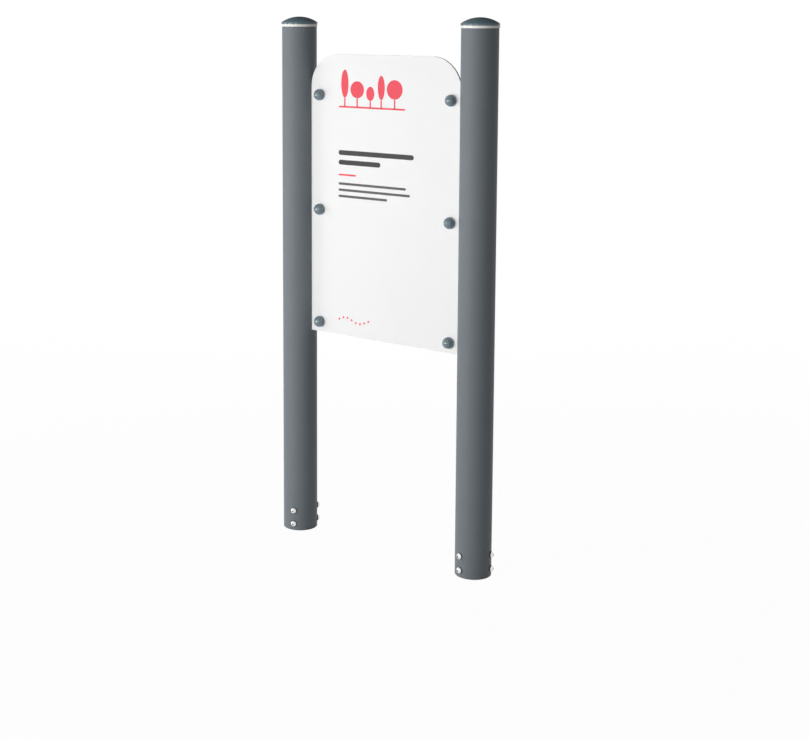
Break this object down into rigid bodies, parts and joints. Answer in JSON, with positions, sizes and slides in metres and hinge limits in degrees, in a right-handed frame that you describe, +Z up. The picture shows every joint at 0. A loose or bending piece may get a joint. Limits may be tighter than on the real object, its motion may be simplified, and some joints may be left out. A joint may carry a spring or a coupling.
{
  "type": "park interpretation sign",
  "caption": "Free-standing sign with a flat, round-cornered board bolted between round capped posts; footings are hidden inside the feet of the posts.",
  "frame": {"origin": "on the ground, midway between the centre lines of the two posts", "axes": "+X from the left post to the right post as seen from the front, +Y from the front to the back, +Z up"},
  "size_m": [0.7326, 0.1102, 1.5376],
  "materials": {
    "post_powder_coat": "fine satin powder coat, anthracite grey",
    "galvanised_steel": "hot-dip galvanised, dull grey",
    "stainless_steel": "polished stainless steel",
    "collar_plastic": "moulded polyamide, pale warm grey, semi-gloss",
    "dome_plastic": "moulded polyamide, dark blue-grey, semi-gloss",
    "black_plastic": "moulded nylon, black, matt",
    "board_paint": "smooth white coil coating on aluminium sheet",
    "board_core": "black polyethylene, sawn edge"
  },
  "bodies": {
    "root": {"board_back_skin": "board_paint", "board_core": "board_core", "board_front_skin": "board_paint", "left_post_tube": "post_powder_coat", "left_footing_sleeve": "galvanised_steel", "left_footing_plate": "galvanised_steel", "left_base_screws": "stainless_steel", "left_base_washers": "black_plastic", "left_base_nuts": "galvanised_steel", "left_cap_collar": "collar_plastic", "left_cap_dome": "dome_plastic", "left_bottom_lug": "post_powder_coat", "left_bottom_cap_seat": "black_plastic", "left_bottom_board_bolt": "stainless_steel", "left_bottom_bolt_cap": "dome_plastic", "left_bottom_rear_washer": "stainless_steel", "left_bottom_dome_nut": "stainless_steel", "left_middle_lug": "post_powder_coat", "left_middle_cap_seat": "black_plastic", "left_middle_board_bolt": "stainless_steel", "left_middle_bolt_cap": "dome_plastic", "left_middle_rear_washer": "stainless_steel", "left_middle_dome_nut": "stainless_steel", "left_top_lug": "post_powder_coat", "left_top_cap_seat": "black_plastic", "left_top_board_bolt": "stainless_steel", "left_top_bolt_cap": "dome_plastic", "left_top_rear_washer": "stainless_steel", "left_top_dome_nut": "stainless_steel", "right_post_tube": "post_powder_coat", "right_footing_sleeve": "galvanised_steel", "right_footing_plate": "galvanised_steel", "right_base_screws": "stainless_steel", "right_base_washers": "black_plastic", "right_base_nuts": "galvanised_steel", "right_cap_collar": "collar_plastic", "right_cap_dome": "dome_plastic", "right_bottom_lug": "post_powder_coat", "right_bottom_cap_seat": "black_plastic", "right_bottom_board_bolt": "stainless_steel", "right_bottom_bolt_cap": "dome_plastic", "right_bottom_rear_washer": "stainless_steel", "right_bottom_dome_nut": "stainless_steel", "right_middle_lug": "post_powder_coat", "right_middle_cap_seat": "black_plastic", "right_middle_board_bolt": "stainless_steel", "right_middle_bolt_cap": "dome_plastic", "right_middle_rear_washer": "stainless_steel", "right_middle_dome_nut": "stainless_steel", "right_top_lug": "post_powder_coat", "right_top_cap_seat": "black_plastic", "right_top_board_bolt": "stainless_steel", "right_top_bolt_cap": "dome_plastic", "right_top_rear_washer": "stainless_steel", "right_top_dome_nut": "stainless_steel"}
  },
  "joints": []
}
